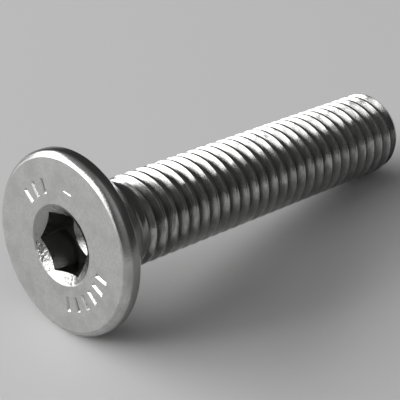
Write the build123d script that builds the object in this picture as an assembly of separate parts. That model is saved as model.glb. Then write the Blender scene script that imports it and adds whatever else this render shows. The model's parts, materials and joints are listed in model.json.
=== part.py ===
"""Countersunk screw with a hexagon socket, lying as it comes to rest on a flat surface.

The screw is drawn along its own axis: the flat face of the head is at z = 0, the tip is at z = screw_length,
and x is the radius. The shank is plain, at the diameter of the thread's crests. The screw is then laid down on the
back edge of its rim and the far end of its shank.
"""
import math
import os

from build123d import *

# Head, in millimetres and degrees
head_diameter = 15.8
front_edge_width = 0.55
front_edge_depth = 0.65
front_edge_bulge = 0.1
rim_depth = 1.35
rim_edge_round = 0.15
countersink_angle = 90.0

# Socket: a hexagon with a conical lead-in, and the point of the drill at its floor
hexagon_sides = 6
socket_across_flats = 5.05
socket_depth = 3.5
socket_turn = 19.0
lead_in_width = 0.55
lead_in_angle = 120.0
drill_diameter_share = 0.94
drill_point_angle = 120.0

# Shank, at the crests of its thread
screw_length = 40.0
thread_diameter = 7.78
neck_round = 0.6
tip_chamfer_width = 0.55
tip_chamfer_length = 0.9

# Turn of the seam of the turned form from the side it lies on, so that a facet and not a corner is lowest there
seam_turn = 94.0

# How far a cut reaches past the surface that it opens
overrun = 0.1

# Radii, and places along the axis
head_radius = head_diameter / 2
face_radius = head_radius - front_edge_width
thread_radius = thread_diameter / 2
tip_radius = thread_radius - tip_chamfer_width
cone_half_angle = math.radians(countersink_angle / 2)
cone_end = rim_depth + (head_radius - thread_radius) / math.tan(cone_half_angle)
tip_chamfer_start = screw_length - tip_chamfer_length

# The centre of the round at the back edge of the rim
rim_round_radius = head_radius - rim_edge_round
rim_round_place = rim_depth - rim_edge_round * math.tan(cone_half_angle / 2)

# The screw rests on that round and on the shank where the chamfer of the tip starts
rest_rise = rim_round_radius - thread_radius
rest_span = tip_chamfer_start - rim_round_place
rest_tilt = math.atan2(rest_rise, rest_span) + math.asin(rim_edge_round / math.hypot(rest_rise, rest_span))


def turned_blank():
    """The head, cone, shank and tip as one turned form."""
    rim_edge = (head_radius, rim_depth)
    neck = (thread_radius, cone_end)
    front_edge = SagittaArc((face_radius, 0), (head_radius, front_edge_depth), -front_edge_bulge)
    outline = Polyline(
        (head_radius, front_edge_depth),
        rim_edge,
        neck,
        (thread_radius, tip_chamfer_start),
        (tip_radius, screw_length),
        (0, screw_length),
        (0, 0),
        (face_radius, 0),
    )
    section = make_face([front_edge, outline])
    section = rounded_corner(section, rim_edge, rim_edge_round)
    section = rounded_corner(section, neck, neck_round)
    return Rot(0, 0, seam_turn) * revolve(Plane.XZ * section, Axis.Z)


def rounded_corner(section, corner, radius):
    """The section with its corner at this point rounded."""
    return fillet(section.vertices().sort_by_distance((*corner, 0))[0], radius)


def cone_space(radius, angle):
    """A cone that narrows along z from a circle at z = 0 to a point, with a short straight lead before it."""
    depth = radius / math.tan(math.radians(angle / 2))
    half_section = Polygon((0, -overrun), (radius, -overrun), (radius, 0), (0, depth), align=None)
    return revolve(Plane.XZ * half_section, Axis.Z)


def socket():
    """The space of the hexagon, its lead-in and the drill point."""
    flat_radius = socket_across_flats / 2
    corner_radius = flat_radius / math.cos(math.pi / hexagon_sides)
    hexagon = RegularPolygon(corner_radius, hexagon_sides, rotation=socket_turn)
    walls = Pos(0, 0, -overrun) * extrude(hexagon, socket_depth + overrun)
    lead_in = cone_space(corner_radius + lead_in_width, lead_in_angle)
    drill_point = Pos(0, 0, socket_depth) * cone_space(flat_radius * drill_diameter_share, drill_point_angle)
    return walls + lead_in + drill_point


def laid_down(screw):
    """The screw on z = 0, its axis over +X with the tip lower than the head, its box centred on the origin."""
    along, across = math.cos(rest_tilt), math.sin(rest_tilt)
    lift = rim_round_place * across + rim_round_radius * along + rim_edge_round
    head_end = -face_radius * across
    tip_end = screw_length * along + tip_radius * across
    return Pos(-(head_end + tip_end) / 2, 0, lift) * Rot(0, 90 + math.degrees(rest_tilt), 0) * screw


def main():
    screw = turned_blank() - socket()
    os.makedirs("parts", exist_ok=True)
    export_step(laid_down(screw), "parts/screw.step")


if __name__ == "__main__":
    main()
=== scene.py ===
import json
import math

import bmesh
import bpy
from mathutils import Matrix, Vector


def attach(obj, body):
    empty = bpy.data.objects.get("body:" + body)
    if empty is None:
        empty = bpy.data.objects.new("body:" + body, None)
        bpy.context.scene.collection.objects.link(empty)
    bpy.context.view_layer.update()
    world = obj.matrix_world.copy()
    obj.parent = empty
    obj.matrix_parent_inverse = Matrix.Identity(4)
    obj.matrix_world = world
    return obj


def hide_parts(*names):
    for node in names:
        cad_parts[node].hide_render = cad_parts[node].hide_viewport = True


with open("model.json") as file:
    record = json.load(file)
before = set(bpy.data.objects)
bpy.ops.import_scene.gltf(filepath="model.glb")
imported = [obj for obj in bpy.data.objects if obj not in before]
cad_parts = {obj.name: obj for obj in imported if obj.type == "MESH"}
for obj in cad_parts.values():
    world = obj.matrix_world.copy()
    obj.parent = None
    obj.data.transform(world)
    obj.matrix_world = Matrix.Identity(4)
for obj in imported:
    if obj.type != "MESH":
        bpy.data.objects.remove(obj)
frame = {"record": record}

bl_info = {
    "name": "Countersunk Socket Screw",
    "version": (1, 0, 0),
    "blender": (4, 5, 0),
    "location": "View3D > Sidebar > Screw",
    "description": "Models a countersunk screw with a hexagon socket and a rolled thread, and sets its stage",
    "category": "Add Mesh",
}

# The screw is modelled along +Z from the face of its head, and is then laid on the line of its socket
mounts = {mount["name"]: mount for mount in frame["record"]["mounts"]}
face_centre = Vector(mounts["hexagon_socket"]["pos_m"])
along = -Vector(mounts["hexagon_socket"]["axis"])
lay_turn = math.atan2(along.x, along.z)
crest_radius = mounts["thread"]["dims"]["r_mm"] / 1000

MERGE_DISTANCE = 1e-7
CUT_TOLERANCE = 1e-9
START_SIZE = 0.001
SMOOTH_ANGLE = math.radians(25)
HEXAGON_SIDES = 6

# The least part of a normal along z that counts as facing that way
FACING = 0.5

# Turns of the thread's outline before the groove that its phase places
LEAD_TURNS = 2.5

# Steps round the axis
HEAD_STEPS = 192
THREAD_STEPS = 112
ENVELOPE_STEPS = 160
LEAD_IN_STEPS = 160
DRILL_STEPS = 96

# Segments of the rounds
FRONT_EDGE_SEGMENTS = 8
RIM_SEGMENTS = 5
NECK_SEGMENTS = 8
CREST_SEGMENTS = 4
ROOT_SEGMENTS = 8
TIP_SEGMENTS = 5

# How far the pieces that are cut or joined reach past each other, in metres
SOCKET_OVERRUN = 0.001
DRILL_OVERLAP = 0.0001
ROD_LEAD = 0.0004
ROD_OVERRUN = 0.0002
ENVELOPE_LEAD = 0.0003
ENVELOPE_CLEARANCE = 0.0004

# Angles of the plain ticks on the face in degrees, from the side the screw lies on
FACE_TICK_ANGLES = (126, 139, 152, -14, -27, -40, -53, -66, -79)

# The inner end of a tick's cutter as a share of its outer end, along it, across it and in depth
TICK_TAPER = (0.55, 0.04, 1)

# Zones in which a tone of the steel or a painted shade comes or goes, in metres: depths from the face, and
# radii from the axis
SHANK_DEPTHS = (0.0050, 0.0062)
FACE_DEPTHS = (0.00002, 0.00012)
# Radii of the painted shade in the roots of the thread
ROOT_RADII = (0.0034, 0.0038)
BELOW_CREST_RADII = (0.0037, 0.00385)
# Depths of the painted shade of the head on its cone, its neck and the first turns
CONE_START_DEPTHS = (0.00135, 0.0019)
CONE_END_DEPTHS = (0.0058, 0.0066)
RIM_DEPTHS = (0.0005, 0.0007)
RIM_RADII = (0.0074, 0.0077)
# Depths and radii of the painted shade on the chamfer of the tip
TIP_DEPTHS = (0.0387, 0.0395)
TIP_RADII = (0.0027, 0.0030)
# Depths and radii of the painted shade inside the socket
SOCKET_START_DEPTHS = (0.0002, 0.0006)
SOCKET_END_DEPTHS = (0.0052, 0.0056)
SOCKET_RADII = (0.0030, 0.0032)
LEAD_IN_DEPTHS = (0.0008, 0.0014)
LEAD_IN_RADII = (0.00342, 0.00352)

# Noise of the finishes: cells in a metre, stretch along the screw's own axes, and detail
CLOUDS = (420, (1, 1, 1), 4)
SPECKLE = (4200, (1, 1, 1), 2)
STREAKS = (1300, (1, 1, 9), 3)
PATCHES = (520, (1, 1, 2.5), 3)
ROLLING_MARKS = (900, (1, 1, 14), 3)
FINE_GRAIN = (9000, (1, 1, 1), 2)
WAVES = (750, (1, 1, 1.5), 1)
DENTS = (1700, (1, 1, 1), 3)
NOISE_ROUGHNESS = 0.6
NOISE_MIDDLE = 0.5

# Values of the noise between which a finish comes
CLOUD_RANGE = (0.35, 0.7)
CLOUD_ROUGHNESS_RANGE = (0.3, 0.7)
SPECKLE_RANGE = (0.4, 0.65)
STREAK_RANGE = (0.44, 0.68)
PATCH_RANGE = (0.42, 0.6)

# How much of the steel a tone or a painted shade covers at most
SPECKLE_COVER = 0.4
FLANK_COVER = 0.6
STREAK_COVER = 0.65
PATCH_COVER = 0.45
CONE_SHADE_COVER = 0.88
TIP_SHADE_COVER = 0.92
LEAD_IN_COVER = 0.7

# Roughness, and what the clouds and the roots add to it
BODY_ROUGHNESS = 0.18
FACE_ROUGHNESS = 0.42
CLOUD_ROUGHNESS = (-0.04, 0.06)
ROOT_ROUGHNESS = 0.05

# Heights of the relief
FINE_ON_HEAD = 0.8
FINE_ON_SHANK = 0.35
WAVE_HEIGHT = 2.2
DENT_HEIGHT = 7.0
RELIEF_STRENGTH = 0.6
RELIEF_DISTANCE = 0.00003

# Sockets of the Mix node for colours
MIX_COLOURS = (6, 7)
MIX_RESULT = 2

# Floor and camera
FLOOR_SIZE = 8
FLOOR_ROUGHNESS = 0.8
SENSOR_WIDTH = 36
CLIP_START = 0.001

# Windows of soft light: name, place, width and height, and watts
WINDOWS = (
    ("window", (-0.936, 1.336, 0.760), (2.5, 0.92), 44.8),
    ("side_window", (-1.540, 0.328, 0.872), (0.84, 1.20), 10.8),
)

# Glows of the room behind, above and in front: direction, cosine of the angle where it ends, brightness
GLOWS = (
    ((-0.50, 0.60, 0.62), 0.62, 0.30),
    ((0.0, -0.42, 0.9), 0.77, 0.25),
    ((-0.3, -0.85, 0.43), 0.7, 0.16),
)
ROOM_LEVEL = 0.08


class HeadSizes(bpy.types.PropertyGroup):
    """Sizes of the head"""
    diameter: bpy.props.FloatProperty(
        name="Diameter", description="Across the rim", default=0.0158, unit="LENGTH")
    front_width: bpy.props.FloatProperty(
        name="Front Edge Width", description="Width of the rounded front edge across the axis",
        default=0.00055, unit="LENGTH")
    front_depth: bpy.props.FloatProperty(
        name="Front Edge Depth", description="Depth of the rounded front edge along the axis",
        default=0.00065, unit="LENGTH")
    front_bulge: bpy.props.FloatProperty(
        name="Front Edge Bulge", description="Height of the front edge's arc over its chord",
        default=0.0001, unit="LENGTH")
    rim_depth: bpy.props.FloatProperty(
        name="Rim Depth", description="From the face to the back edge of the rim",
        default=0.00135, unit="LENGTH")
    rim_round: bpy.props.FloatProperty(
        name="Rim Round", description="Radius at the back edge of the rim",
        default=0.00015, unit="LENGTH")
    neck_round: bpy.props.FloatProperty(
        name="Neck Round", description="Radius between the cone and the neck",
        default=0.0006, unit="LENGTH")
    cone_angle: bpy.props.FloatProperty(
        name="Cone Angle", description="Full angle of the countersunk cone",
        default=math.radians(90), subtype="ANGLE")


class SocketSizes(bpy.types.PropertyGroup):
    """Sizes of the hexagon socket"""
    across_flats: bpy.props.FloatProperty(
        name="Across Flats", description="Width of the hexagon", default=0.00505, unit="LENGTH")
    depth: bpy.props.FloatProperty(
        name="Depth", description="Depth of the full hexagon", default=0.0035, unit="LENGTH")
    turn: bpy.props.FloatProperty(
        name="Turn", description="Turn of the hexagon about the axis",
        default=math.radians(19), subtype="ANGLE")
    lead_in_width: bpy.props.FloatProperty(
        name="Lead-in Width", description="Width of the conical lead-in outside the corners",
        default=0.00055, unit="LENGTH")
    lead_in_angle: bpy.props.FloatProperty(
        name="Lead-in Angle", description="Full angle of the lead-in",
        default=math.radians(120), subtype="ANGLE")
    drill_share: bpy.props.FloatProperty(
        name="Drill Share", description="Diameter of the drill point as a share of the width of the hexagon",
        default=0.94, subtype="FACTOR")
    drill_angle: bpy.props.FloatProperty(
        name="Drill Angle", description="Full angle of the drill point",
        default=math.radians(120), subtype="ANGLE")


class ThreadSizes(bpy.types.PropertyGroup):
    """Sizes of the shank and its right-hand thread"""
    length: bpy.props.FloatProperty(
        name="Screw Length", description="From the face to the tip", default=0.04, unit="LENGTH")
    radius: bpy.props.FloatProperty(
        name="Crest Radius", description="Radius at the crests", default=crest_radius, unit="LENGTH")
    pitch: bpy.props.FloatProperty(
        name="Pitch", description="Advance in one turn", default=0.00125, unit="LENGTH")
    phase: bpy.props.FloatProperty(
        name="Phase", description="Distance of one groove from the face, on the side the screw lies on",
        default=0.00666, unit="LENGTH")
    flank_angle: bpy.props.FloatProperty(
        name="Flank Angle", description="Angle between the two flanks of a groove",
        default=math.radians(60), subtype="ANGLE")
    crest_share: bpy.props.FloatProperty(
        name="Crest Share", description="Share of the pitch that is flat crest",
        default=0.2, subtype="FACTOR")
    crest_round: bpy.props.FloatProperty(
        name="Crest Round", description="Length taken off each edge of a crest",
        default=0.000025, unit="LENGTH")
    root_round: bpy.props.FloatProperty(
        name="Root Round", description="Length taken off each flank at the root",
        default=0.00031, unit="LENGTH")
    neck_relief: bpy.props.FloatProperty(
        name="Neck Relief", description="How far the neck lies inside the crests",
        default=0.00002, unit="LENGTH")
    neck_length: bpy.props.FloatProperty(
        name="Neck Length", description="From the corner of the cone to the start of the run-out",
        default=0.0006, unit="LENGTH")
    run_out_length: bpy.props.FloatProperty(
        name="Run-out Length", description="Length of the slope on which the grooves run out",
        default=0.0019, unit="LENGTH")
    run_out_radius: bpy.props.FloatProperty(
        name="Run-out Radius", description="Radius at the low end of that slope",
        default=0.0030, unit="LENGTH")
    fade_depth: bpy.props.FloatProperty(
        name="Fade Depth", description="How far inside the crests the thread starts",
        default=0.0006, unit="LENGTH")
    fade_length: bpy.props.FloatProperty(
        name="Fade Length", description="Length along which the first crest grows",
        default=0.0010, unit="LENGTH")
    chamfer_width: bpy.props.FloatProperty(
        name="Tip Chamfer Width", description="Width of the chamfer across the axis",
        default=0.00055, unit="LENGTH")
    chamfer_length: bpy.props.FloatProperty(
        name="Tip Chamfer Length", description="Length of the chamfer along the axis",
        default=0.0009, unit="LENGTH")
    tip_round: bpy.props.FloatProperty(
        name="Tip Round", description="Length taken off each side of the edge of the tip",
        default=0.00022, unit="LENGTH")


class MarkSizes(bpy.types.PropertyGroup):
    """Sizes of the plain ticks and of the scratch on the face"""
    tick_radius: bpy.props.FloatProperty(
        name="Tick Radius", description="From the axis to the middle of a tick",
        default=0.0050, unit="LENGTH")
    tick_length: bpy.props.FloatProperty(
        name="Tick Length", description="Length of a tick's cutter at its outer end",
        default=0.0017, unit="LENGTH")
    tick_width: bpy.props.FloatProperty(
        name="Tick Width", description="Width of a tick's cutter at its outer end",
        default=0.0008, unit="LENGTH")
    tick_depth: bpy.props.FloatProperty(
        name="Tick Depth", description="Depth of a tick", default=0.00012, unit="LENGTH")
    scratch_angle: bpy.props.FloatProperty(
        name="Scratch Angle", description="Place of the scratch round the face",
        default=math.radians(186), subtype="ANGLE")
    scratch_radius: bpy.props.FloatProperty(
        name="Scratch Radius", description="From the axis to the middle of the scratch",
        default=0.00492, unit="LENGTH")
    scratch_length: bpy.props.FloatProperty(
        name="Scratch Length", description="Length of the scratch's cutter at its outer end",
        default=0.0013, unit="LENGTH")
    scratch_width: bpy.props.FloatProperty(
        name="Scratch Width", description="Width of the scratch's cutter at its outer end",
        default=0.00032, unit="LENGTH")
    scratch_depth: bpy.props.FloatProperty(
        name="Scratch Depth", description="Depth of the scratch", default=0.00005, unit="LENGTH")


class SteelColoursAndShade(bpy.types.PropertyGroup):
    """Colours of the steel, with painted shade for the roots, behind the head, on the tip chamfer and in the
    socket
    """
    bright: bpy.props.FloatVectorProperty(
        name="Bright Steel", description="Colour of clean steel", subtype="COLOR", size=4,
        default=(0.56, 0.56, 0.555, 1.0))
    dull: bpy.props.FloatVectorProperty(
        name="Dull Steel", description="Colour where the plating is dull", subtype="COLOR", size=4,
        default=(0.41, 0.41, 0.404, 1.0))
    flank: bpy.props.FloatVectorProperty(
        name="Thread Flank", description="Colour of the greyer flanks of the thread", subtype="COLOR", size=4,
        default=(0.38, 0.38, 0.374, 1.0))
    rim: bpy.props.FloatVectorProperty(
        name="Rim", description="Colour of the duller rim and lead-in of the head", subtype="COLOR", size=4,
        default=(0.31, 0.31, 0.305, 1.0))
    # Painted shade in the roots of the thread and on the end of the tip, and, through the cone mask, behind
    # the head; the same colour also darkens random streaks and patches on the shank
    root: bpy.props.FloatVectorProperty(
        name="Thread Root", description="Colour of the oily film in the root", subtype="COLOR", size=4,
        default=(0.25, 0.248, 0.243, 1.0))
    # Painted shade on the chamfer of the tip
    tip: bpy.props.FloatVectorProperty(
        name="Tip", description="Colour of the dark chamfer of the tip", subtype="COLOR", size=4,
        default=(0.07, 0.07, 0.069, 1.0))
    # Painted shade inside the socket
    socket: bpy.props.FloatVectorProperty(
        name="Socket", description="Colour of the bare dark steel in the socket", subtype="COLOR", size=4,
        default=(0.25, 0.25, 0.246, 1.0))


class StageLook(bpy.types.PropertyGroup):
    """Floor and camera"""
    floor: bpy.props.FloatVectorProperty(
        name="Floor", description="Colour of the floor", subtype="COLOR", size=4,
        default=(0.6, 0.6, 0.6, 1.0))
    lens: bpy.props.FloatProperty(
        name="Lens", description="Focal length in millimetres", default=132.5, unit="CAMERA")
    down_angle: bpy.props.FloatProperty(
        name="Down Angle", description="How far the camera looks down",
        default=math.radians(30.0), subtype="ANGLE")
    side_angle: bpy.props.FloatProperty(
        name="Side Angle", description="Turn of the camera from the screw's line",
        default=math.radians(44.56), subtype="ANGLE")
    camera_place: bpy.props.FloatVectorProperty(
        name="Camera Place", description="Where the camera stands", subtype="TRANSLATION", size=3,
        default=(-0.08357, -0.07867, 0.07039))


# The groups of values by the name that each has on the scene
GROUPS = {
    "screw_head": HeadSizes,
    "screw_socket": SocketSizes,
    "screw_thread": ThreadSizes,
    "screw_marks": MarkSizes,
    "screw_steel": SteelColoursAndShade,
    "screw_stage": StageLook,
}


def select_only(piece):
    """Makes this piece the only one selected, and the active one."""
    bpy.ops.object.select_all(action="DESELECT")
    piece.select_set(True)
    bpy.context.view_layer.objects.active = piece


def start_at(name, place):
    """A new object with one vertex, in edit mode."""
    bpy.ops.object.select_all(action="DESELECT")
    bpy.ops.mesh.primitive_plane_add(size=START_SIZE)
    piece = bpy.context.object
    piece.name = name
    bpy.ops.object.mode_set(mode="EDIT")
    bpy.ops.mesh.select_all(action="SELECT")
    bpy.ops.mesh.merge(type="CENTER")
    bpy.ops.transform.translate(value=place)
    return piece


def draw_through(points):
    """Extrudes the selected vertex through these (radius, height) points."""
    for (radius, height), (next_radius, next_height) in zip(points, points[1:]):
        step = (next_radius - radius, 0, next_height - height)
        bpy.ops.mesh.extrude_region_move(TRANSFORM_OT_translate={"value": step})


def select_near(piece, points):
    """Selects the vertices at these (radius, height) points of an outline."""
    mesh = bmesh.from_edit_mesh(piece.data)
    for vertex in mesh.verts:
        near = any(math.hypot(vertex.co.x - r, vertex.co.z - h) < MERGE_DISTANCE for r, h in points)
        vertex.select_set(near)
    mesh.select_flush_mode()
    bmesh.update_edit_mesh(piece.data)


def round_corner(piece, corner, length, segments):
    """Rounds one corner of an outline, taking this length off each side."""
    select_near(piece, [corner])
    bpy.ops.mesh.bevel(offset=length, offset_type="OFFSET", segments=segments, affect="VERTICES")


def close_and_turn_out():
    """Merges doubles and points all faces outwards."""
    bpy.ops.mesh.select_all(action="SELECT")
    bpy.ops.mesh.remove_doubles(threshold=MERGE_DISTANCE)
    bpy.ops.mesh.normals_make_consistent(inside=False)


def turn_outline(steps):
    """Spins the whole outline about the screw's axis."""
    bpy.ops.mesh.select_all(action="SELECT")
    bpy.ops.mesh.spin(steps=steps, angle=math.tau, center=(0, 0, 0), axis=(0, 0, 1))
    close_and_turn_out()


def turned_form(name, points, corners, steps):
    """A solid turned from an outline between two points of the axis; corners = (point, length, segments)."""
    piece = start_at(name, (points[0][0], 0, points[0][1]))
    draw_through(points)
    for corner, length, segments in corners:
        round_corner(piece, corner, length, segments)
    turn_outline(steps)
    bpy.ops.object.mode_set(mode="OBJECT")
    return piece


def combine(piece, other, operation):
    """Applies a Boolean of another closed piece, and removes that piece."""
    select_only(piece)
    cut = piece.modifiers.new(operation.title(), "BOOLEAN")
    cut.operation = operation
    cut.solver = "MANIFOLD"
    cut.object = other
    bpy.ops.object.modifier_apply(modifier=cut.name)
    bpy.data.objects.remove(other)


def front_edge_points(head):
    """The arc from the face to the rim."""
    radius = head.diameter / 2
    start = Vector((radius - head.front_width, 0))
    end = Vector((radius, head.front_depth))
    chord = (end - start).length
    arc_radius = (chord / 2) ** 2 / (2 * head.front_bulge) + head.front_bulge / 2
    middle = (start + end) / 2
    inward = Vector((-(end - start).y, (end - start).x)).normalized()
    centre = middle + inward * (arc_radius - head.front_bulge)
    half_angle = math.asin(chord / 2 / arc_radius)
    first = math.atan2(middle.y - centre.y, middle.x - centre.x)
    points = []
    for i in range(FRONT_EDGE_SEGMENTS + 1):
        angle = first - half_angle + 2 * half_angle * i / FRONT_EDGE_SEGMENTS
        points.append((centre.x + arc_radius * math.cos(angle), centre.y + arc_radius * math.sin(angle)))
    return points


def head_and_neck(head, thread):
    """The head with its cone, the neck, and the slope on which the grooves run out."""
    radius = head.diameter / 2
    neck_radius = thread.radius - thread.neck_relief
    half_angle = head.cone_angle / 2
    neck_start = head.rim_depth + (radius - neck_radius) / math.tan(half_angle)
    run_out_start = neck_start + thread.neck_length
    run_out_end = run_out_start + thread.run_out_length
    rim_edge = (radius, head.rim_depth)
    neck = (neck_radius, neck_start)
    points = [
        (0, 0),
        *front_edge_points(head),
        rim_edge,
        neck,
        (neck_radius, run_out_start),
        (thread.run_out_radius, run_out_end),
        (0, run_out_end),
    ]
    turn = math.tan(half_angle / 2)
    corners = [
        (rim_edge, head.rim_round * turn, RIM_SEGMENTS),
        (neck, head.neck_round * turn, NECK_SEGMENTS),
    ]
    return turned_form("screw", points, corners, HEAD_STEPS)


def threaded_rod(thread):
    """The shank with its thread: one turn of the outline, repeated, then cut to length."""
    flank_slope = math.tan(thread.flank_angle / 2)
    land = thread.pitch * thread.crest_share / 2
    half_groove = thread.pitch / 2 - land
    root = thread.radius - half_groove / flank_slope
    start = thread.phase - thread.pitch * LEAD_TURNS
    points = [
        (thread.radius, start),
        (thread.radius, start + land),
        (root, start + thread.pitch / 2),
        (thread.radius, start + thread.pitch - land),
        (thread.radius, start + thread.pitch),
    ]
    piece = start_at("rod", (thread.radius, 0, start))
    draw_through(points)
    round_corner(piece, points[1], thread.crest_round, CREST_SEGMENTS)
    round_corner(piece, points[3], thread.crest_round, CREST_SEGMENTS)
    round_corner(piece, points[2], thread.root_round, ROOT_SEGMENTS)
    bpy.ops.object.mode_set(mode="OBJECT")
    turns = piece.modifiers.new("Turns", "SCREW")
    turns.axis = "Z"
    turns.angle = math.tau
    turns.screw_offset = thread.pitch
    turns.iterations = math.ceil((thread.length - start) / thread.pitch) + 1
    turns.steps = THREAD_STEPS
    turns.render_steps = THREAD_STEPS
    turns.use_merge_vertices = False
    bpy.ops.object.modifier_apply(modifier=turns.name)
    bpy.ops.object.mode_set(mode="EDIT")
    close_and_turn_out()
    for height, keep_above in ((thread.phase - ROD_LEAD, True), (thread.length + ROD_OVERRUN, False)):
        bpy.ops.mesh.select_all(action="SELECT")
        bpy.ops.mesh.bisect(
            plane_co=(0, 0, height), plane_no=(0, 0, 1), use_fill=True, clear_inner=keep_above,
            clear_outer=not keep_above, threshold=CUT_TOLERANCE)
    close_and_turn_out()
    bpy.ops.object.mode_set(mode="OBJECT")
    return piece


def rod_envelope(thread):
    """The room that the thread may fill: a fade at the neck, and the chamfer of the tip."""
    outside = thread.radius + ENVELOPE_CLEARANCE
    start = thread.phase - ENVELOPE_LEAD
    slope = thread.chamfer_length / thread.chamfer_width
    tip = (thread.radius - thread.chamfer_width, thread.length)
    chamfer_start = thread.length - thread.chamfer_length - (outside - thread.radius) * slope
    points = [
        (0, start),
        (thread.radius - thread.fade_depth, start),
        (outside, start + thread.fade_length),
        (outside, chamfer_start),
        tip,
        (0, thread.length),
    ]
    return turned_form("envelope", points, [(tip, thread.tip_round, TIP_SEGMENTS)], ENVELOPE_STEPS)


def socket_space(socket):
    """The hexagon, its conical lead-in, and the drill point."""
    corner_radius = socket.across_flats / 2 / math.cos(math.pi / HEXAGON_SIDES)
    mouth = corner_radius + socket.lead_in_width
    lead_in_slope = math.tan(socket.lead_in_angle / 2)
    points = [
        (0, -SOCKET_OVERRUN),
        (mouth + SOCKET_OVERRUN * lead_in_slope, -SOCKET_OVERRUN),
        (0, mouth / lead_in_slope),
    ]
    lead_in = turned_form("lead_in", points, [], LEAD_IN_STEPS)
    bpy.ops.object.select_all(action="DESELECT")
    bpy.ops.mesh.primitive_cylinder_add(
        vertices=HEXAGON_SIDES, radius=corner_radius, depth=socket.depth + SOCKET_OVERRUN,
        location=(0, 0, (socket.depth - SOCKET_OVERRUN) / 2), rotation=(0, 0, socket.turn - math.pi / 2))
    walls = bpy.context.object
    bpy.ops.object.transform_apply(location=True, rotation=True, scale=True)
    drill_radius = socket.across_flats / 2 * socket.drill_share
    drill_start = socket.depth - DRILL_OVERLAP
    drill_points = [
        (0, drill_start),
        (drill_radius, drill_start),
        (drill_radius, socket.depth),
        (0, socket.depth + drill_radius / math.tan(socket.drill_angle / 2)),
    ]
    drill = turned_form("drill", drill_points, [], DRILL_STEPS)
    combine(walls, lead_in, "UNION")
    combine(walls, drill, "UNION")
    return walls


def tick_cutter(name, length, width, depth):
    """A cutter for one tick along x: its outer half lies outside the face, and it narrows inwards."""
    bpy.ops.object.select_all(action="DESELECT")
    bpy.ops.mesh.primitive_cube_add(size=1)
    tick = bpy.context.object
    tick.name = name
    tick.scale = (length, width, depth * 2)
    bpy.ops.object.transform_apply(location=False, rotation=False, scale=True)
    bpy.ops.object.mode_set(mode="EDIT")
    bpy.ops.mesh.select_all(action="DESELECT")
    mesh = bmesh.from_edit_mesh(tick.data)
    for face in mesh.faces:
        if face.normal.z > FACING:
            face.select_set(True)
    bmesh.update_edit_mesh(tick.data)
    bpy.ops.transform.resize(value=TICK_TAPER)
    bpy.ops.object.mode_set(mode="OBJECT")
    return tick


def copy_of(piece):
    """A copy of a piece with a mesh of its own."""
    select_only(piece)
    bpy.ops.object.duplicate(linked=False)
    return bpy.context.object


def place_on_face(mark, angle, radius, turn):
    """Moves a mark to this angle and radius on the face, turned this far from the radius."""
    select_only(mark)
    mark.rotation_euler = (0, 0, angle + turn)
    mark.location = (radius * math.cos(angle), radius * math.sin(angle), 0)
    bpy.ops.object.transform_apply(location=True, rotation=True, scale=True)


def face_marks(marks):
    """One cutter for all the ticks and the scratch on the face."""
    tick = tick_cutter("tick", marks.tick_length, marks.tick_width, marks.tick_depth)
    ticks = [tick]
    for _ in FACE_TICK_ANGLES[1:]:
        ticks.append(copy_of(tick))
    for mark, angle in zip(ticks, FACE_TICK_ANGLES):
        place_on_face(mark, math.radians(angle), marks.tick_radius, 0.0)
    scratch = tick_cutter("scratch", marks.scratch_length, marks.scratch_width, marks.scratch_depth)
    place_on_face(scratch, marks.scratch_angle, marks.scratch_radius, math.pi / 2)
    select_only(tick)
    for mark in (*ticks, scratch):
        mark.select_set(True)
    bpy.ops.object.join()
    return tick


def add_node(tree, kind, **settings):
    """A new node with these settings and input values."""
    node = tree.nodes.new(kind)
    for name, value in settings.items():
        if name in node.inputs:
            node.inputs[name].default_value = value
        else:
            setattr(node, name, value)
    return node


def math_node(tree, operation, first, second):
    """A Math node on two sockets or numbers."""
    node = add_node(tree, "ShaderNodeMath", operation=operation)
    for place, value in enumerate((first, second)):
        if isinstance(value, bpy.types.NodeSocket):
            tree.links.new(value, node.inputs[place])
        else:
            node.inputs[place].default_value = value
    return node.outputs[0]


def ramp_between(tree, value, zone, to_low, to_high):
    """A smooth change across a zone of a value, from to_low at its low end to to_high at its high end."""
    node = add_node(tree, "ShaderNodeMapRange", interpolation_type="SMOOTHSTEP")
    tree.links.new(value, node.inputs["Value"])
    node.inputs["From Min"].default_value = zone[0]
    node.inputs["From Max"].default_value = zone[1]
    node.inputs["To Min"].default_value = to_low
    node.inputs["To Max"].default_value = to_high
    return node.outputs["Result"]


def rise(tree, value, zone, top=1.0):
    """A smooth rise from 0 to top across a zone of a value."""
    return ramp_between(tree, value, zone, 0.0, top)


def fall(tree, value, zone, top=1.0):
    """A smooth fall from top to 0 across a zone of a value."""
    return ramp_between(tree, value, zone, top, 0.0)


def grain(tree, vector, scale, stretch, detail):
    """Noise of this scale for each metre, stretched by these factors along the screw's own axes."""
    turn = add_node(tree, "ShaderNodeMapping", Scale=stretch)
    tree.links.new(vector, turn.inputs["Vector"])
    noise = add_node(tree, "ShaderNodeTexNoise", Scale=scale, Detail=detail, Roughness=NOISE_ROUGHNESS)
    tree.links.new(turn.outputs["Vector"], noise.inputs["Vector"])
    return noise.outputs["Fac"]


def mix_colour(tree, factor, first, second):
    """A mix of two colours, each a socket or a value."""
    node = add_node(tree, "ShaderNodeMix", data_type="RGBA")
    tree.links.new(factor, node.inputs[0])
    for place, value in zip(MIX_COLOURS, (first, second)):
        if isinstance(value, bpy.types.NodeSocket):
            tree.links.new(value, node.inputs[place])
        else:
            node.inputs[place].default_value = value
    return node.outputs[MIX_RESULT]


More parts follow.
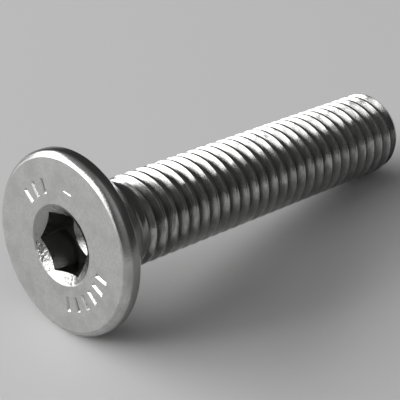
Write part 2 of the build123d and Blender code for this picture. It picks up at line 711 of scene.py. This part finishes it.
def steel_material(colours_and_shade):
    """Plated steel: a matte face, a glossier thread with marks, and painted shade in the roots, behind the
    head, on the tip chamfer and in the socket.
    """
    material = bpy.data.materials.new("plated_steel")
    material.use_nodes = True
    tree = material.node_tree
    shader = tree.nodes["Principled BSDF"]
    shader.inputs["Metallic"].default_value = 1.0

    # Places in the screw's own axes
    place = add_node(tree, "ShaderNodeTexCoord")
    own = add_node(tree, "ShaderNodeMapping", vector_type="TEXTURE")
    own.inputs["Location"].default_value = face_centre
    own.inputs["Rotation"].default_value = (0, lay_turn, 0)
    tree.links.new(place.outputs["Object"], own.inputs["Vector"])
    vector = own.outputs["Vector"]
    parts = add_node(tree, "ShaderNodeSeparateXYZ")
    tree.links.new(vector, parts.inputs["Vector"])
    x, y, depth = parts.outputs["X"], parts.outputs["Y"], parts.outputs["Z"]
    squares = math_node(tree, "ADD", math_node(tree, "MULTIPLY", x, x), math_node(tree, "MULTIPLY", y, y))
    radius = math_node(tree, "SQRT", squares, 0.0)

    # Masks by place, among them those of the painted shade
    on_shank = rise(tree, depth, SHANK_DEPTHS)
    on_face = fall(tree, depth, FACE_DEPTHS)
    # Painted shade in the roots of the thread, which also covers the end face of the tip
    painted_shade_in_root = math_node(tree, "MULTIPLY", on_shank, fall(tree, radius, ROOT_RADII))
    below_crest = math_node(tree, "MULTIPLY", on_shank, fall(tree, radius, BELOW_CREST_RADII, FLANK_COVER))
    # Painted shade behind the head: on the cone, the neck and the first turns
    past_rim = rise(tree, depth, CONE_START_DEPTHS, CONE_SHADE_COVER)
    head_shade_on_cone = math_node(tree, "MULTIPLY", past_rim, fall(tree, depth, CONE_END_DEPTHS))
    past_edge = rise(tree, depth, RIM_DEPTHS)
    on_rim = math_node(tree, "MULTIPLY", past_edge, rise(tree, radius, RIM_RADII))
    # Painted shade on the chamfer of the tip
    past_thread = rise(tree, depth, TIP_DEPTHS, TIP_SHADE_COVER)
    tip_chamfer_shade = math_node(tree, "MULTIPLY", past_thread, rise(tree, radius, TIP_RADII))
    past_mouth = rise(tree, depth, SOCKET_START_DEPTHS)
    # Painted shade inside the socket
    socket_painted_shade = math_node(tree, "MULTIPLY", past_mouth, fall(tree, radius, SOCKET_RADII))
    socket_painted_shade = math_node(tree, "MULTIPLY", socket_painted_shade, fall(tree, depth, SOCKET_END_DEPTHS))
    near_mouth = fall(tree, depth, LEAD_IN_DEPTHS)
    on_lead_in = math_node(tree, "MULTIPLY", fall(tree, radius, LEAD_IN_RADII), near_mouth)

    # Colour, with painted shade in the roots, behind the head, on the tip chamfer and in the socket
    clouds = grain(tree, vector, *CLOUDS)
    steel = mix_colour(tree, rise(tree, clouds, CLOUD_RANGE), colours_and_shade.bright, colours_and_shade.dull)
    speckle = rise(tree, grain(tree, vector, *SPECKLE), SPECKLE_RANGE, SPECKLE_COVER)
    steel = mix_colour(tree, speckle, steel, colours_and_shade.flank)
    steel = mix_colour(tree, below_crest, steel, colours_and_shade.flank)
    streaks = rise(tree, grain(tree, vector, *STREAKS), STREAK_RANGE, STREAK_COVER)
    steel = mix_colour(tree, math_node(tree, "MULTIPLY", streaks, on_shank), steel, colours_and_shade.root)
    patches = rise(tree, grain(tree, vector, *PATCHES), PATCH_RANGE, PATCH_COVER)
    steel = mix_colour(tree, math_node(tree, "MULTIPLY", patches, on_shank), steel, colours_and_shade.root)
    # Painted shade behind the head, in the colour of the roots
    steel = mix_colour(tree, head_shade_on_cone, steel, colours_and_shade.root)
    steel = mix_colour(tree, on_rim, steel, colours_and_shade.rim)
    # Painted shade on the chamfer of the tip
    steel = mix_colour(tree, tip_chamfer_shade, steel, colours_and_shade.tip)
    # Painted shade in the roots of the thread
    steel = mix_colour(tree, painted_shade_in_root, steel, colours_and_shade.root)
    # Painted shade inside the socket
    steel = mix_colour(tree, socket_painted_shade, steel, colours_and_shade.socket)
    steel = mix_colour(tree, math_node(tree, "MULTIPLY", on_lead_in, LEAD_IN_COVER), steel, colours_and_shade.rim)
    tree.links.new(steel, shader.inputs["Base Color"])

    # Roughness
    rough = ramp_between(tree, on_face, (0.0, 1.0), BODY_ROUGHNESS, FACE_ROUGHNESS)
    uneven = ramp_between(tree, clouds, CLOUD_ROUGHNESS_RANGE, *CLOUD_ROUGHNESS)
    rough = math_node(tree, "ADD", rough, uneven)
    rough = math_node(tree, "ADD", rough, math_node(tree, "MULTIPLY", painted_shade_in_root, ROOT_ROUGHNESS))
    tree.links.new(rough, shader.inputs["Roughness"])

    # Relief: rolling marks and waves on the shank, dents on the lead-in, fine grain all over
    marks = math_node(tree, "SUBTRACT", grain(tree, vector, *ROLLING_MARKS), NOISE_MIDDLE)
    marks = math_node(tree, "MULTIPLY", marks, below_crest)
    fine_height = ramp_between(tree, on_shank, (0.0, 1.0), FINE_ON_HEAD, FINE_ON_SHANK)
    fine = math_node(tree, "MULTIPLY", grain(tree, vector, *FINE_GRAIN), fine_height)
    height = math_node(tree, "ADD", marks, fine)
    waves = math_node(tree, "SUBTRACT", grain(tree, vector, *WAVES), NOISE_MIDDLE)
    waves = math_node(tree, "MULTIPLY", waves, math_node(tree, "MULTIPLY", on_shank, WAVE_HEIGHT))
    height = math_node(tree, "ADD", height, waves)
    dents = math_node(tree, "SUBTRACT", grain(tree, vector, *DENTS), NOISE_MIDDLE)
    dents = math_node(tree, "MULTIPLY", dents, math_node(tree, "MULTIPLY", on_lead_in, DENT_HEIGHT))
    height = math_node(tree, "ADD", height, dents)
    bump = add_node(tree, "ShaderNodeBump", Strength=RELIEF_STRENGTH, Distance=RELIEF_DISTANCE)
    tree.links.new(height, bump.inputs["Height"])
    tree.links.new(bump.outputs["Normal"], shader.inputs["Normal"])
    return material


class SCREW_OT_model(bpy.types.Operator):
    """Model the screw and lay it where it rests"""
    bl_idname = "screw.model"
    bl_label = "Model Screw"

    def execute(self, context):
        scene = context.scene
        thread = scene.screw_thread
        screw = head_and_neck(scene.screw_head, thread)
        rod = threaded_rod(thread)
        combine(rod, rod_envelope(thread), "INTERSECT")
        combine(screw, rod, "UNION")
        combine(screw, socket_space(scene.screw_socket), "DIFFERENCE")
        combine(screw, face_marks(scene.screw_marks), "DIFFERENCE")
        select_only(screw)
        bpy.ops.object.shade_smooth_by_angle(angle=SMOOTH_ANGLE)
        screw.rotation_euler = (0, lay_turn, 0)
        screw.location = face_centre
        bpy.ops.object.transform_apply(location=True, rotation=True, scale=True)
        screw.name = "screw_body"
        screw.data.materials.clear()
        screw.data.materials.append(steel_material(scene.screw_steel))
        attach(screw, "root")
        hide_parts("screw")
        return {"FINISHED"}


class SCREW_OT_stage(bpy.types.Operator):
    """Set the floor, the light and the camera"""
    bl_idname = "screw.stage"
    bl_label = "Set Stage"

    def execute(self, context):
        look = context.scene.screw_stage
        bpy.ops.object.select_all(action="DESELECT")
        bpy.ops.mesh.primitive_plane_add(size=FLOOR_SIZE)
        floor = context.object
        floor.name = "floor"
        material = bpy.data.materials.new("floor_card")
        material.use_nodes = True
        shader = material.node_tree.nodes["Principled BSDF"]
        shader.inputs["Base Color"].default_value = look.floor
        shader.inputs["Roughness"].default_value = FLOOR_ROUGHNESS
        floor.data.materials.append(material)
        bpy.ops.object.camera_add(location=look.camera_place)
        camera = context.object
        camera.rotation_euler = (math.pi / 2 - look.down_angle, 0, look.side_angle - math.pi / 2)
        camera.data.lens = look.lens
        camera.data.sensor_width = SENSOR_WIDTH
        camera.data.clip_start = CLIP_START
        context.scene.camera = camera
        context.scene.view_settings.view_transform = "Standard"
        set_light(context.scene)
        return {"FINISHED"}


def set_light(scene):
    """Two windows of soft light, behind the screw and beside its head, and a dim room with soft glows."""
    world = bpy.data.worlds.new("studio")
    world.use_nodes = True
    tree = world.node_tree
    direction = add_node(tree, "ShaderNodeTexCoord").outputs["Generated"]
    level = ROOM_LEVEL
    for centre, edge, brightness in GLOWS:
        level = math_node(tree, "ADD", glow_from(tree, direction, centre, edge, brightness), level)
    tree.links.new(level, tree.nodes["Background"].inputs["Color"])
    scene.world = world
    for name, place, size, watts in WINDOWS:
        add_window(name, place, size, watts)


def glow_from(tree, direction, centre, edge, brightness):
    """A soft glow round one direction; edge is the cosine of the angle at which it ends."""
    facing = add_node(tree, "ShaderNodeVectorMath", operation="DOT_PRODUCT")
    facing.inputs[1].default_value = Vector(centre).normalized()
    tree.links.new(direction, facing.inputs[0])
    return rise(tree, facing.outputs["Value"], (edge, 1.0), brightness)


def add_window(name, place, size, watts):
    """A soft rectangular lamp that faces the screw."""
    bpy.ops.object.light_add(type="AREA", location=place)
    lamp = bpy.context.object
    lamp.name = name
    lamp.data.shape = "RECTANGLE"
    lamp.data.size, lamp.data.size_y = size
    lamp.data.energy = watts
    lamp.rotation_euler = (-lamp.location).to_track_quat("-Z", "Y").to_euler()


class SCREW_PT_panel(bpy.types.Panel):
    """Lists the sizes and the steps that make the screw"""
    bl_label = "Countersunk Screw"
    bl_idname = "SCREW_PT_panel"
    bl_space_type = "VIEW_3D"
    bl_region_type = "UI"
    bl_category = "Screw"

    def draw(self, context):
        layout = self.layout
        for group_name in GROUPS:
            group = getattr(context.scene, group_name)
            for name in group.__annotations__:
                layout.prop(group, name)
        layout.operator(SCREW_OT_model.bl_idname)
        layout.operator(SCREW_OT_stage.bl_idname)


CLASSES = (*GROUPS.values(), SCREW_OT_model, SCREW_OT_stage, SCREW_PT_panel)


def register():
    for cls in CLASSES:
        bpy.utils.register_class(cls)
    for group_name, group in GROUPS.items():
        setattr(bpy.types.Scene, group_name, bpy.props.PointerProperty(type=group))


def unregister():
    for group_name in GROUPS:
        delattr(bpy.types.Scene, group_name)
    for cls in reversed(CLASSES):
        bpy.utils.unregister_class(cls)


def main():
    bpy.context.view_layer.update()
    register()
    bpy.ops.screw.model()
    bpy.ops.screw.stage()


if __name__ == "__main__":
    main()
